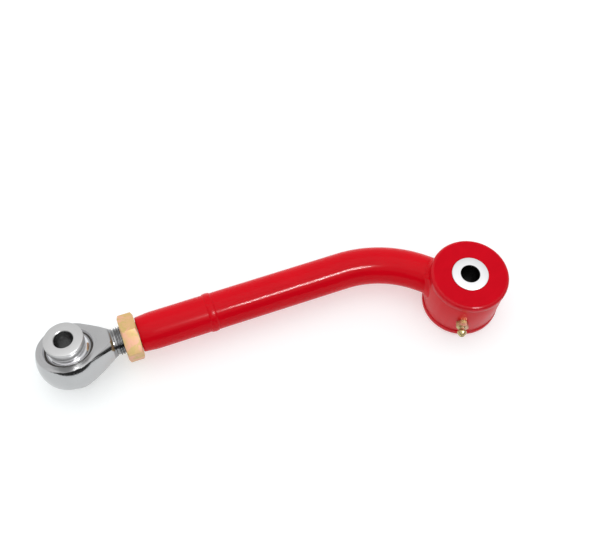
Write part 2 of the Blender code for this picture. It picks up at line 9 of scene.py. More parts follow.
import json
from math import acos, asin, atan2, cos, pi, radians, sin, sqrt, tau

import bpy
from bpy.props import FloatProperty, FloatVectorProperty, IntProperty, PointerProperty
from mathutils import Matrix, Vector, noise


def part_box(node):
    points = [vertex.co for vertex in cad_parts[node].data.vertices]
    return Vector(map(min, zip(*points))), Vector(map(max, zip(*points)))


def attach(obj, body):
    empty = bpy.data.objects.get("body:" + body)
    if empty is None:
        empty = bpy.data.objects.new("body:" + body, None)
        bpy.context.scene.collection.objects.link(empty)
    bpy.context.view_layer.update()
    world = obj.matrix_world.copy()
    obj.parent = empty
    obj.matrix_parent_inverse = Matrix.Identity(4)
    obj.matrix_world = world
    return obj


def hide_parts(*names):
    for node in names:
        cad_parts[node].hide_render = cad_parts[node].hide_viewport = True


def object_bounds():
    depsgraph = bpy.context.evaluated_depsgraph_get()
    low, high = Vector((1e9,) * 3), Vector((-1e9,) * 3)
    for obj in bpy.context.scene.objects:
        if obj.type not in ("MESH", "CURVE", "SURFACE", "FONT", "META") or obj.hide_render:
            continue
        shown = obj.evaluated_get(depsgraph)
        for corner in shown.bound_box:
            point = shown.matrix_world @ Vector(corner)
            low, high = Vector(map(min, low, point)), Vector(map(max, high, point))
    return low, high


bl_info = {
    "name": "Adjustable Control Arm",
    "version": (1, 0, 0),
    "blender": (4, 5, 0),
    "location": "View3D > Sidebar > Control Arm",
    "description": "Builds the visible pieces of an adjustable control arm around its CAD frame",
    "category": "Add Mesh",
}

MM = 0.001
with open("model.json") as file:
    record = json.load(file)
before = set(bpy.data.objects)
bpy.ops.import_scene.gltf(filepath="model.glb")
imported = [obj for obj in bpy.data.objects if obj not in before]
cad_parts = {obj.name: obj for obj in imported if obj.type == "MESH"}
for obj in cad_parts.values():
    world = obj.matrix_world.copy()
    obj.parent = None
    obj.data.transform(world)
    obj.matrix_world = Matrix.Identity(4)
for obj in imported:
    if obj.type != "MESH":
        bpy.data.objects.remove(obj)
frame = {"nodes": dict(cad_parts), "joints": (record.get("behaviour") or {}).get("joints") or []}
CAD_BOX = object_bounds()
JOINTS = {joint["name"]: joint for joint in frame["joints"]}
ROD_END = Vector(JOINTS["ball_swivel"]["pos_m"])
BUSHING = Vector(JOINTS["sleeve_turn"]["pos_m"])
HEAD_AXIS = Vector(JOINTS["ball_swivel"]["axis"])
BALL_AXIS = Vector(JOINTS["upper_spacer_turn"]["axis"])
FITTING_AXIS = -Vector(JOINTS["check_ball_press"]["axis"])


def half_size(node, axis):
    low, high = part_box(node)
    return (high[axis] - low[axis]) / 2


def along_arm(node, end):
    """Where a node begins (end 0) or stops (end 1) along +X, from the rod end's centre."""
    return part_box(node)[end].x - ROD_END.x


TUBE_RADIUS = half_size("threaded_bung", 2)
SHELL_RADIUS = half_size("bushing_shell", 0)
SHELL_HALF_HEIGHT = half_size("bushing_shell", 2)
FLANGE_RADIUS = half_size("bushing_half_upper", 0)
FLANGE_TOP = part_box("bushing_half_upper")[1].z - BUSHING.z
SLEEVE_RADIUS = half_size("bushing_sleeve", 0)
SLEEVE_HALF_LENGTH = half_size("bushing_sleeve", 2)
FITTING_HEIGHT = (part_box("grease_fitting_ball")[0].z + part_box("grease_fitting_ball")[1].z) / 2


def placed_on(origin, axis):
    """The matrix that stands a piece modelled about Z on an axis."""
    turn = Vector((0, 0, 1)).rotation_difference(axis).to_matrix().to_4x4()
    return Matrix.Translation(origin) @ turn


ON_ARM = Matrix.Translation(ROD_END) @ Matrix.Rotation(pi / 2, 4, "Y")
ON_HEAD = Matrix.Translation(ROD_END) @ Matrix.Rotation(-atan2(HEAD_AXIS.y, HEAD_AXIS.z), 4, "X")
ON_BALL = placed_on(ROD_END, BALL_AXIS)
ON_BUSHING = Matrix.Translation(BUSHING)
ON_FITTING = placed_on(Vector((BUSHING.x, BUSHING.y, FITTING_HEIGHT))
                       + FITTING_AXIS * SHELL_RADIUS, FITTING_AXIS)


# Settings that a user may change

def length(name, text, millimetres):
    return FloatProperty(name=name, description=text, default=millimetres * MM, min=0.0,
                         unit="LENGTH", precision=5)


def colour(name, text, red, green, blue):
    return FloatVectorProperty(name=name, description=text, default=(red, green, blue),
                               subtype="COLOR", size=3, min=0.0, max=1.0)


class ArmSizes(bpy.types.PropertyGroup):
    straight_length: length("Straight length", "Rod end centre to the start of the bend", 190.0)
    bend_radius: length("Bend radius", "Radius of the bend's centre line", 77.7)
    bend_angle: FloatProperty(name="Bend angle", description="How far the tube is bent",
                              default=radians(41.6), subtype="ANGLE")
    tube_wall: length("Tube wall", "Thickness of the tube's wall", 3.175)
    weld_width: length("Weld width", "Half the width of the weld behind the bung", 2.7)
    weld_crown: length("Weld crown", "How far the weld stands proud of the tube", 0.65)
    shell_weld: length("Shell weld", "Leg of the fillet weld at the shell", 2.6)
    flange_round: length("Flange round", "Radius on the flange's upper edge", 2.4)
    facets: IntProperty(name="Facets", description="Faces around each turned piece",
                        default=128, min=32, max=256)


class RodEndSizes(bpy.types.PropertyGroup):
    head_radius: length("Head radius", "Radius of the head's round side", 22.73)
    head_half_width: length("Head half width", "Half the distance between the milled sides", 8.75)
    flat_radius: length("Flat radius", "How far out the sides are milled", 27.4)
    neck_radius: length("Neck radius", "Radius of the polished neck", 9.3)
    shank_radius: length("Shank radius", "Outside radius of the thread", 9.525)
    thread_pitch: length("Thread pitch", "Advance of the thread in one turn", 1.5875)
    thread_start: length("Thread start", "Where the thread begins", 29.3)
    race_radius: length("Race radius", "Outside radius of the race", 18.4)
    ball_radius: length("Ball radius", "Radius of the ball", 16.67)
    ball_half_width: length("Ball half width", "Half the width between the ball's flats", 11.11)
    bore_radius: length("Ball bore", "Radius of the ball's bore", 9.525)
    spacer_length: length("Spacer length", "From the ball's centre to a spacer's end face", 21.2)
    spacer_radius: length("Spacer radius", "Radius of a spacer's round side", 12.8)
    bolt_radius: length("Bolt bore", "Radius of the holes for both bolts", 6.25)
    nut_flats: length("Nut size", "Distance across the jam nut's flats", 28.575)
    nut_phase: FloatProperty(name="Nut phase", description="Lean of the nut's upper corner",
                             default=radians(8.4), subtype="ANGLE")


class FinishColours(bpy.types.PropertyGroup):
    powder_coat: colour("Powder coat", "Glossy red on the tube and the shell", 0.66, 0.002, 0.010)
    polyurethane: colour("Polyurethane", "Satin red of the bushing halves", 0.60, 0.003, 0.012)
    zinc: colour("Zinc", "Bright zinc of the sleeve", 0.72, 0.72, 0.73)
    yellow_zinc: colour("Yellow zinc", "Plating of the nut", 0.70, 0.45, 0.19)
    satin_steel: colour("Satin steel", "Plating of the rod end", 0.47, 0.47, 0.475)
    turned_steel: colour("Turned steel", "Bare metal of the spacers", 0.60, 0.60, 0.60)
    chrome: colour("Chrome", "Polished metal of the ball", 0.70, 0.70, 0.72)


class StageSettings(bpy.types.PropertyGroup):
    camera_place: FloatVectorProperty(
        name="Camera place", description="Camera position from the bushing's centre",
        default=(-0.224005, -0.218270, 0.541940), subtype="TRANSLATION", unit="LENGTH")
    camera_azimuth: FloatProperty(name="Camera azimuth", description="Turn of the camera about Z",
                                  default=radians(-24.76), subtype="ANGLE")
    camera_elevation: FloatProperty(name="Camera elevation", description="Height of the view",
                                    default=radians(63.42), subtype="ANGLE")
    camera_roll: FloatProperty(name="Camera roll", description="Lean of the horizon",
                               default=radians(4.75), subtype="ANGLE")
    focal_length: FloatProperty(name="Focal length", description="Lens of the camera in mm",
                                default=53.6055)
    framing_shift: FloatProperty(name="Framing shift", description="Upward shift of the lens",
                                 default=0.05823)


# Modelling helpers

def start_fresh():
    """Leave edit mode and deselect everything, so that an operator acts on the new piece only."""
    if bpy.context.object and bpy.context.object.mode != "OBJECT":
        bpy.ops.object.mode_set(mode="OBJECT")
    bpy.ops.object.select_all(action="DESELECT")


def choose(piece):
    start_fresh()
    piece.select_set(True)
    bpy.context.view_layer.objects.active = piece


def turned(name, outline, place, facets, closed=True):
    """Draw an outline of (radius, height) points edge by edge and spin it round.

    A closed outline makes a ring; an open one starts and ends on the axis.
    """
    start_fresh()
    bpy.ops.mesh.primitive_plane_add(size=MM, location=(0, 0, 0))
    piece = bpy.context.object
    piece.name = name
    piece.data.name = name
    bpy.ops.object.mode_set(mode="EDIT")
    bpy.ops.mesh.merge(type="CENTER")
    points = [Vector((radius, 0, height)) for radius, height in outline]
    if closed:
        points.append(points[0])
    bpy.ops.transform.translate(value=points[0])
    for before, after in zip(points, points[1:]):
        bpy.ops.mesh.extrude_region_move(TRANSFORM_OT_translate={"value": after - before})
    bpy.ops.mesh.select_all(action="SELECT")
    bpy.ops.mesh.spin(steps=facets, angle=tau, center=(0, 0, 0), axis=(0, 0, 1))
    finish_edit(piece)
    settle(piece, place)
    return piece


def finish_edit(piece):
    """Close seams and poles, point the faces outwards and go back to object mode."""
    bpy.ops.mesh.select_all(action="SELECT")
    bpy.ops.mesh.remove_doubles(threshold=0.002 * MM)
    bpy.ops.mesh.normals_make_consistent(inside=False)
    bpy.ops.object.mode_set(mode="OBJECT")


def settle(piece, place=None):
    """Move a piece to its place and put the place into its mesh."""
    choose(piece)
    if place:
        piece.matrix_world = place @ piece.matrix_world
    bpy.ops.object.transform_apply(location=True, rotation=True, scale=True)


def apply_modifier(piece, kind, **settings):
    choose(piece)
    modifier = piece.modifiers.new(kind.title(), kind)
    for setting, value in settings.items():
        setattr(modifier, setting, value)
    bpy.ops.object.modifier_apply(modifier=modifier.name)


def combine(piece, other, operation):
    """Cut a piece with another one, or join or intersect them, and drop the other one."""
    apply_modifier(piece, "BOOLEAN", operation=operation, solver="EXACT", object=other)
    bpy.data.objects.remove(other, do_unlink=True)


def soften(piece, width, segments=2, sharper_than=28):
    """Break the sharp edges with a small round."""
    apply_modifier(piece, "BEVEL", width=width, segments=segments, limit_method="ANGLE",
                   angle_limit=radians(sharper_than), use_clamp_overlap=True)


def shade(piece, angle=32):
    choose(piece)
    bpy.ops.object.shade_smooth_by_angle(angle=radians(angle))


def drum(name, radius, depth, place, sides=96):
    """A plain cylinder on an axis, used to cut with."""
    start_fresh()
    bpy.ops.mesh.primitive_cylinder_add(vertices=sides, radius=radius, depth=depth)
    piece = bpy.context.object
    piece.name = name
    settle(piece, place)
    return piece


def arc(centre, radius, start, end, steps):
    """Points on an arc of a (radius, height) outline, angles from the radius direction."""
    points = []
    for index in range(steps + 1):
        angle = start + (end - start) * index / steps
        points.append((centre[0] + radius * cos(angle), centre[1] + radius * sin(angle)))
    return points


def corner(radius_from_axis, height, small, turns):
    """A round of radius small on a convex corner; turns says which quarter it fills."""
    sign_r, sign_h, first = turns
    centre = (radius_from_axis - sign_r * small, height - sign_h * small)
    return arc(centre, small, first, first - pi / 2, 3)


OLIVE_ZINC = (0.50, 0.40, 0.20)
OUTER_TOP = (1, 1, pi / 2)
OUTER_LOW = (1, -1, 0)


def dress(piece, finish, slot, body, *nodes):
    """Give a piece its material, hang it on the empty of the body it moves with, and hide the frame's
    nodes that it stands for.
    """
    piece.data.materials.clear()
    piece.data.materials.append(finish)
    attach(piece, body)
    if nodes:
        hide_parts(*nodes)


# Shader helpers

class Signal:
    """A number flowing between nodes: writing maths with it adds Math nodes."""

    def __init__(self, finish, socket):
        self.finish = finish
        self.socket = socket

    def _with(self, operation, first, second=None):
        inputs = {0: first} if second is None else {0: first, 1: second}
        return self.finish.node("ShaderNodeMath", {"operation": operation}, inputs)

    def __add__(self, other):
        return self._with("ADD", self, other)

    def __radd__(self, other):
        return self._with("ADD", other, self)

    def __sub__(self, other):
        return self._with("SUBTRACT", self, other)

    def __rsub__(self, other):
        return self._with("SUBTRACT", other, self)

    def __mul__(self, other):
        return self._with("MULTIPLY", self, other)

    def __rmul__(self, other):
        return self._with("MULTIPLY", other, self)

    def __truediv__(self, other):
        return self._with("DIVIDE", self, other)

    def __rtruediv__(self, other):
        return self._with("DIVIDE", other, self)

    def __pow__(self, other):
        return self._with("POWER", self, other)

    def sine(self):
        return self._with("SINE", self)

    def root(self):
        return self._with("SQRT", self)

    def size(self):
        return self._with("ABSOLUTE", self)

    def above(self, edge, softness):
        """0 below the edge and 1 above it, with a soft step between."""
        return self.finish.node("ShaderNodeMapRange", {"interpolation_type": "SMOOTHSTEP"},
                                {"Value": self, "From Min": edge - softness,
                                 "From Max": edge + softness})


class Nodes:
    """A node tree that is built one node at a time."""

    def __init__(self, tree):
        self.tree = tree

    def node(self, kind, settings, inputs, output=0):
        """Add a node, set it, feed its sockets with values or signals, and return one output."""
        made = self.tree.nodes.new(kind)
        for setting, value in settings.items():
            setattr(made, setting, value)
        for socket, value in inputs.items():
            if isinstance(value, Signal):
                self.tree.links.new(value.socket, made.inputs[socket])
            else:
                made.inputs[socket].default_value = value
        return Signal(self, made.outputs[output])

    def parts(self, vector):
        """The x, y and z of a vector as three signals."""
        x = self.node("ShaderNodeSeparateXYZ", {}, {"Vector": vector}, output="X")
        node = x.socket.node
        return x, Signal(self, node.outputs["Y"]), Signal(self, node.outputs["Z"])


class Finish(Nodes):
    """A procedural material on a Principled shader."""

    def __init__(self, name, **constants):
        self.material = bpy.data.materials.new(name)
        self.material.use_nodes = True
        super().__init__(self.material.node_tree)
        self.shader = self.tree.nodes["Principled BSDF"]
        for socket, value in constants.items():
            label = socket.replace("_", " ").title().replace("Ior", "IOR")
            self.shader.inputs[label].default_value = value
        self.coordinates = self.node("ShaderNodeTexCoord", {}, {}, output="Object")

    def feed(self, **sockets):
        """Link signals to the shader's own sockets."""
        for socket, signal in sockets.items():
            self.tree.links.new(signal.socket, self.shader.inputs[socket.replace("_", " ").title()])

    def about(self, place):
        """Object coordinates measured from a place, turned to its axes."""
        inverse = place.inverted()
        turn = inverse.to_euler()
        return self.node("ShaderNodeMapping", {"vector_type": "POINT"},
                         {"Vector": self.coordinates, "Location": inverse.translation,
                          "Rotation": turn}, output="Vector")

    def noise(self, vector, scale, detail=3.0, roughness=0.5, distortion=0.0):
        return self.node("ShaderNodeTexNoise", {"noise_dimensions": "3D"},
                         {"Vector": vector, "Scale": scale, "Detail": detail,
                          "Roughness": roughness, "Distortion": distortion}, output="Fac")

    def stretched(self, vector, x, y, z):
        return self.node("ShaderNodeVectorMath", {"operation": "MULTIPLY"},
                         {0: vector, 1: (x, y, z)})

    def joined(self, x, y, z):
        return self.node("ShaderNodeCombineXYZ", {}, {"X": x, "Y": y, "Z": z})

    def mix(self, first, second, share):
        """Colour first where the share is 0 and second where it is 1."""
        def full(value):
            return value if isinstance(value, Signal) else (*value, 1.0)[:4]

        return self.node("ShaderNodeMix", {"data_type": "RGBA"},
                         {0: share, 6: full(first), 7: full(second)}, output=2)

    def blend(self, first, second, share):
        """Number first where the share is 0 and second where it is 1."""
        return self.node("ShaderNodeMix", {"data_type": "FLOAT"},
                         {0: share, 2: first, 3: second}, output=0)

    def bump(self, height, distance, strength=1.0):
        return self.node("ShaderNodeBump", {},
                         {"Height": height, "Distance": distance, "Strength": strength},
                         output="Normal")


def tinted(shade_of, factor):
    return tuple(min(1.0, channel * factor) for channel in shade_of)


def powder_coat(name, base, roughness):
    """Glossy red powder coat with a slight orange peel."""
    finish = Finish(name, metallic=0.0, specular_ior_level=0.06, coat_weight=0.06,
                    coat_roughness=0.05)
    where = finish.coordinates
    cloud = finish.noise(where, 42.0, detail=4.0)
    peel = finish.noise(where, 620.0, detail=2.0, distortion=0.4)
    specks = finish.noise(where, 2600.0, detail=1.0)
    finish.feed(
        base_color=finish.mix(tinted(base, 0.90), tinted(base, 1.08), cloud),
        roughness=roughness + peel * 0.06 + cloud * 0.04,
        normal=finish.bump(peel * 0.8 + specks * 0.2, 0.02 * MM, 0.5),
    )
    return finish.material


def rolled_shell_coat(name, base):
    """Powder coat over the shell's turned side: fine rings show through it."""
    finish = Finish(name, metallic=0.0, specular_ior_level=0.20)
    local = finish.about(ON_BUSHING)
    x, y, z = finish.parts(local)
    rings = finish.noise(finish.stretched(local, 3.0, 3.0, 900.0), 1.0, detail=3.0)
    cloud = finish.noise(local, 60.0, detail=4.0)
    finish.feed(
        base_color=finish.mix(tinted(base, 0.86), tinted(base, 1.10), rings * 0.6 + cloud * 0.4),
        roughness=0.26 + rings * 0.14,
        normal=finish.bump(rings, 0.03 * MM, 0.7),
    )
    return finish.material


def polyurethane(name, base):
    """Cast polyurethane, satin, with a faint skin and swirls where it was poured."""
    finish = Finish(name, metallic=0.0, specular_ior_level=0.02)
    local = finish.about(ON_BUSHING)
    swirl = finish.noise(local, 55.0, detail=5.0, roughness=0.6, distortion=1.6)
    grain = finish.noise(local, 1500.0, detail=2.0)
    x, y, z = finish.parts(local)
    rim = (x * x + y * y).root().above(FLANGE_RADIUS - 1.9 * MM, 0.6 * MM)
    finish.feed(
        base_color=finish.mix(tinted(base, 0.88), tinted(base, 1.12), swirl),
        roughness=0.34 + swirl * 0.10 + grain * 0.05 - rim * 0.12,
        coat_weight=rim * 0.35,
        normal=finish.bump(grain * 0.6 + swirl * 0.4, 0.03 * MM, 0.5),
    )
    return finish.material


def turned_metal(name, base, place, bore_radius, roughness, groove, painted_bore_shade=0.08):
    """Lathe-turned metal: rings on the faces, fine lines round the side, and a bore darkened by
    painted shade, with a fixed roughness of 0.24.
    """
    finish = Finish(name, metallic=1.0)
    local = finish.about(place)
    x, y, z = finish.parts(local)
    radius = (x * x + y * y).root()
    lines = finish.noise(finish.joined(radius * 2200.0, z * 2200.0, 0.0), 1.0, detail=2.0)
    broad = finish.noise(finish.joined(radius * 420.0, z * 420.0, 3.0), 1.0, detail=2.0)
    marks = finish.noise(local, 180.0, detail=5.0, roughness=0.65)
    outside = radius.above(bore_radius + 0.35 * MM, 0.2 * MM)
    plain = finish.mix(tinted(base, 0.82), tinted(base, 1.10), broad * 0.4 + marks * 0.3 + lines * 0.3)
    # Inside the bore radius the colour drops to a share of the base: painted shade for the deep hole.
    finish.feed(
        base_color=finish.mix(tinted(base, painted_bore_shade), plain, outside),
        roughness=finish.blend(0.24, roughness + lines * 0.10 + marks * 0.06, outside),
        normal=finish.bump(lines * 0.7 + broad * 0.3, groove),
    )
    return finish.material


def rod_end_plating(name, base, sizes):
    """Satin plated body: sides faced in rings, a thread darkened with painted shade, and a polished
    neck darkened with a painted dark reflection.
    """
    finish = Finish(name, metallic=1.0)
    local = finish.about(ON_HEAD)
    x, y, z = finish.parts(local)
    radius = (x * x + y * y).root()
    rings = finish.noise(finish.joined(radius * 1500.0, 0.0, 0.0), 1.0, detail=2.0)
    brush = finish.noise(finish.joined(radius * 2600.0, (x / radius) * 3.0, (y / radius) * 3.0), 1.0,
                         detail=2.0)
    grain = finish.noise(local, 1900.0, detail=3.0)
    cloud = finish.noise(local, 70.0, detail=5.0, roughness=0.6)
    faced = z.size().above(sizes.head_half_width - 0.06 * MM, 0.03 * MM)
    neck = x.above(27.2 * MM, 0.3 * MM)
    threaded = x.above(sizes.thread_start + 0.1 * MM, 0.3 * MM)
    body_colour = finish.mix(tinted(base, 0.92), tinted(base, 1.08), cloud)
    # The thread's colour drops to 0.42-0.75 of the base: painted shade for the thread's roots.
    thread_painted_shade = finish.mix(tinted(base, 0.42), tinted(base, 0.75), cloud)
    satin = 0.07 + cloud * 0.04 + grain * 0.05
    # From 26.7 mm along the neck the colour drops to 0.55 of the base: a painted dark reflection in
    # place of the nut's reflection.
    fillet = x.above(26.7 * MM, 0.5 * MM)
    finish.feed(
        base_color=finish.mix(finish.mix(body_colour, tinted(base, 0.55), fillet), thread_painted_shade,
                              threaded),
        roughness=finish.blend(finish.blend(satin, 0.24 + brush * 0.12, faced), 0.16, neck),
        normal=finish.bump(finish.blend(grain * 0.4, rings * 0.6 + brush * 0.4, faced) * (1.0 - neck),
                           0.012 * MM),
    )
    return finish.material


def polished_chrome(name, base):
    finish = Finish(name, metallic=1.0)
    smudge = finish.noise(finish.coordinates, 160.0, detail=5.0, roughness=0.7)
    wear = finish.noise(finish.coordinates, 900.0, detail=2.0)
    finish.feed(
        base_color=finish.mix(tinted(base, 0.94), tinted(base, 1.04), smudge),
        roughness=0.05 + smudge * 0.05,
        normal=finish.bump(wear, 0.002 * MM, 0.4),
    )
    return finish.material


def yellow_zinc(name, base, roughness, metallic):
    """Yellow passivated zinc: patches of pink and green drift over the gold."""
    finish = Finish(name, metallic=metallic)
    where = finish.coordinates
    drift = finish.noise(where, 95.0, detail=4.0, distortion=0.8)
    patch = finish.noise(where, 210.0, detail=5.0, roughness=0.6, distortion=0.5)
    grain = finish.noise(where, 1500.0, detail=3.0)
    pink = (min(1.0, base[0] * 1.15), base[1] * 0.95, base[2] * 1.5)
    olive = (base[0] * 0.86, base[1] * 1.0, base[2] * 0.75)
    drifted = finish.mix(base, pink, drift.above(0.52, 0.08) * 0.9)
    finish.feed(
        base_color=finish.mix(drifted, olive, patch.above(0.54, 0.06) * 0.75),
        roughness=roughness + grain * 0.12 + patch * 0.06,
        normal=finish.bump(grain * 0.6 + patch * 0.4, 0.03 * MM, 0.7),
    )
    return finish.material


def woven_liner(name):
    finish = Finish(name, metallic=0.0)
    local = finish.about(ON_HEAD)
    x, y, z = finish.parts(local)
    weave = (x * 6000.0).sine() * (z * 6000.0).sine()
    cloud = finish.noise(local, 300.0, detail=3.0)
    finish.feed(
        base_color=finish.mix((0.03, 0.026, 0.022), (0.09, 0.08, 0.07), weave * 0.4 + cloud * 0.6),
        roughness=0.75 + cloud * 0.15,
        normal=finish.bump(weave, 0.03 * MM),
    )
    return finish.material


def rubber(name):
    finish = Finish(name, metallic=0.0)
    cloud = finish.noise(finish.coordinates, 500.0, detail=4.0)
    finish.feed(
        base_color=finish.mix((0.012, 0.012, 0.012), (0.03, 0.03, 0.03), cloud),
        roughness=0.55 + cloud * 0.2,
        normal=finish.bump(cloud, 0.02 * MM),
    )
    return finish.material


def floor_paper(name):
    finish = Finish(name, metallic=0.0, specular_ior_level=0.1, emission_strength=0.42,
                    emission_color=(1.0, 1.0, 1.0, 1.0))
    tooth = finish.noise(finish.coordinates, 700.0, detail=3.0)
    finish.feed(
        base_color=finish.mix((0.64, 0.67, 0.675), (0.66, 0.69, 0.695), tooth),
        roughness=0.55 + tooth * 0.06,
    )
    return finish.material


# Welds

def bead(name, place_of, around, across, place=None):
    """A weld bead: a ring whose points are put where place_of(turn, side) says, both in radians."""
    start_fresh()
    bpy.ops.mesh.primitive_torus_add(major_segments=around, minor_segments=across,
                                     major_radius=10.0, minor_radius=1.0)
    piece = bpy.context.object
    piece.name = name
    piece.data.name = name
    for vertex in piece.data.vertices:
        spot = vertex.co
        turn = atan2(spot.y, spot.x)
        side = atan2(spot.z, sqrt(spot.x ** 2 + spot.y ** 2) - 10.0)
        vertex.co = place_of(turn, side)
    bpy.ops.object.mode_set(mode="EDIT")
    finish_edit(piece)
    settle(piece, place)
    shade(piece, 60)
    return piece


def ripple(turn, count, lump_at):
    """Height of a weld along its run, about 1: overlapping pools, and a lump where it ends."""
    pool = (turn * count / tau) % 1.0
    away = (turn - lump_at + pi) % tau - pi
    lump = 0.55 * pow(2.718, -(away / 0.14) ** 2)
    waver = 0.12 * noise.noise(Vector((cos(turn), sin(turn), 0.3)) * 4.0)
    return 0.90 + 0.16 * sqrt(pool) + lump + waver


# The pieces

class ArmOperator:
    """What the operators of this add-on share."""

    bl_options = {"REGISTER", "UNDO"}

    @property
    def arm(self):
        return bpy.context.scene.arm_sizes

    @property
    def rod(self):
        return bpy.context.scene.rod_end_sizes

    @property
    def colours(self):
        return bpy.context.scene.finish_colours


class CONTROLARM_OT_tube(ArmOperator, bpy.types.Operator):
    """Bend the tube and cope its end to the shell"""

    bl_idname = "control_arm.tube"
    bl_label = "Tube"

    def execute(self, context):
        sizes = self.arm
        start = ROD_END + Vector((weld_centre() + 0.2 * MM, 0, 0))
        bend = ROD_END + Vector((sizes.straight_length, 0, 0))
        start_fresh()
        bpy.ops.mesh.primitive_circle_add(vertices=sizes.facets, radius=TUBE_RADIUS,
                                          location=start, rotation=(0, pi / 2, 0))
        tube = bpy.context.object
        tube.name = "red_tube"
        tube.data.name = "red_tube"
        settle(tube)
        bpy.ops.object.mode_set(mode="EDIT")
        bpy.ops.mesh.select_all(action="SELECT")
        bpy.ops.mesh.extrude_region_move(TRANSFORM_OT_translate={"value": bend - start})
        bpy.ops.mesh.spin(steps=40, angle=sizes.bend_angle, axis=(0, 0, 1),
                          center=bend - Vector((0, sizes.bend_radius, 0)))
        direction = Vector((cos(sizes.bend_angle), -sin(sizes.bend_angle), 0))
        bend_end = bend + Vector((sizes.bend_radius * sin(sizes.bend_angle),
                                  -sizes.bend_radius * (1 - cos(sizes.bend_angle)), 0))
        reach = (BUSHING - bend_end).length - 0.6 * SHELL_RADIUS
        bpy.ops.mesh.extrude_region_move(TRANSFORM_OT_translate={"value": direction * reach})
        finish_edit(tube)
        apply_modifier(tube, "SOLIDIFY", thickness=sizes.tube_wall, offset=-1.0)
        combine(tube, drum("cope", SHELL_RADIUS + 0.1 * MM, 80 * MM, ON_BUSHING, sizes.facets),
                "DIFFERENCE")
        if not tube.data.polygons:
            raise RuntimeError("the tube has no faces left")
        shade(tube)
        dress(tube, powder_coat("red_powder_coat", self.colours.powder_coat, 0.11),
              "red_powder_coat", "arm", "arm_tube")
        return {"FINISHED"}


def weld_centre():
    low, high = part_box("bung_weld")
    return (low.x + high.x) / 2 - ROD_END.x


class CONTROLARM_OT_bung(ArmOperator, bpy.types.Operator):
    """Turn the threaded bung and lay the weld bead behind it"""

    bl_idname = "control_arm.bung"
    bl_label = "Threaded Bung"

    def execute(self, context):
        sizes = self.arm
        start = along_arm("threaded_bung", 0)
        end = along_arm("threaded_bung", 1)
        weld = weld_centre()
        bore = self.rod.shank_radius + 0.12 * MM
        nose = TUBE_RADIUS - 0.9 * MM
        outline = [(bore, start + 0.9 * MM), (bore, weld - 8 * MM), (5 * MM, weld - 5.6 * MM),
                   (5 * MM, end), (9.2 * MM, end), (9.2 * MM, weld - 0.2 * MM),
                   (TUBE_RADIUS, weld - 0.2 * MM)]
        outline += arc((TUBE_RADIUS - 30 * MM, start + 10.5 * MM), 30 * MM, 0,
                       -asin(4.0 / 30.0), 5)
        outline += [(nose + 0.1 * MM, start + 0.9 * MM), (nose - 0.12 * MM, start + 0.35 * MM),
                    (nose - 0.5 * MM, start), (bore + 0.9 * MM, start)]
        bung = turned("red_threaded_bung", outline, ON_ARM, sizes.facets)
        shade(bung)
        coat = powder_coat("red_bung_coat", self.colours.powder_coat, 0.17)
        dress(bung, coat, "red_powder_coat", "arm", "threaded_bung")

        def place_of(turn, side):
            height = ripple(turn, 58, radians(-62))
            out = max(0.0, sin(side)) ** 0.8 * sizes.weld_crown * height - 0.25 * MM * (sin(side) < 0)
            width = sizes.weld_width * (1 + 0.07 * noise.noise(Vector((turn * 3, 1, 2))))
            radius = TUBE_RADIUS + out
            return Vector((-radius * sin(turn), radius * cos(turn),
                           weld + width * cos(side)))

        beaded = bead("red_bung_weld", place_of, 348, 16, ON_ARM)
        weld_coat = powder_coat("red_weld_coat", self.colours.powder_coat, 0.14)
        dress(beaded, weld_coat, "red_powder_coat", "arm", "bung_weld")
        return {"FINISHED"}


class CONTROLARM_OT_shell(ArmOperator, bpy.types.Operator):
    """Turn the bushing's shell, drill it for the grease fitting and weld it to the tube"""

    bl_idname = "control_arm.shell"
    bl_label = "Bushing Shell"

    def execute(self, context):
        sizes = self.arm
        half = SHELL_HALF_HEIGHT
        inner = SHELL_RADIUS - 3.2 * MM
        outline = corner(SHELL_RADIUS, half, 0.7 * MM, OUTER_TOP)
        outline += corner(SHELL_RADIUS, -half, 0.7 * MM, OUTER_LOW)
        outline += [(inner, -half), (inner, half)]
        shell = turned("red_bushing_shell", outline, ON_BUSHING, 2 * sizes.facets)
        combine(shell, drum("fitting_hole", 3.1 * MM, 12 * MM, ON_FITTING, 32), "DIFFERENCE")
        shade(shell)
        dress(shell, rolled_shell_coat("red_shell_coat", self.colours.powder_coat),
              "red_powder_coat", "arm", "bushing_shell")

        direction = Vector((cos(sizes.bend_angle), -sin(sizes.bend_angle), 0))
        sideways = Vector((0, 0, 1)).cross(direction)

        def place_of(turn, side):
            leg = sizes.shell_weld * ripple(turn, 52, radians(128))
            over_tube = leg * max(0.0, cos(side)) ** 2.4 - 0.3 * MM * (cos(side) < 0)
            over_shell = leg * max(0.0, sin(side)) ** 2.4 - 0.3 * MM * (sin(side) < 0)
            radius = TUBE_RADIUS + over_tube
            back = sqrt(SHELL_RADIUS ** 2 - (radius * cos(turn)) ** 2) + over_shell
            outward = sideways * cos(turn) + Vector((0, 0, 1)) * sin(turn)
            return BUSHING - direction * back + outward * radius

        beaded = bead("red_shell_weld", place_of, 312, 16)
        weld_coat = powder_coat("red_shell_weld_coat", self.colours.powder_coat, 0.15)
        dress(beaded, weld_coat, "red_powder_coat", "arm", "shell_weld")
        return {"FINISHED"}


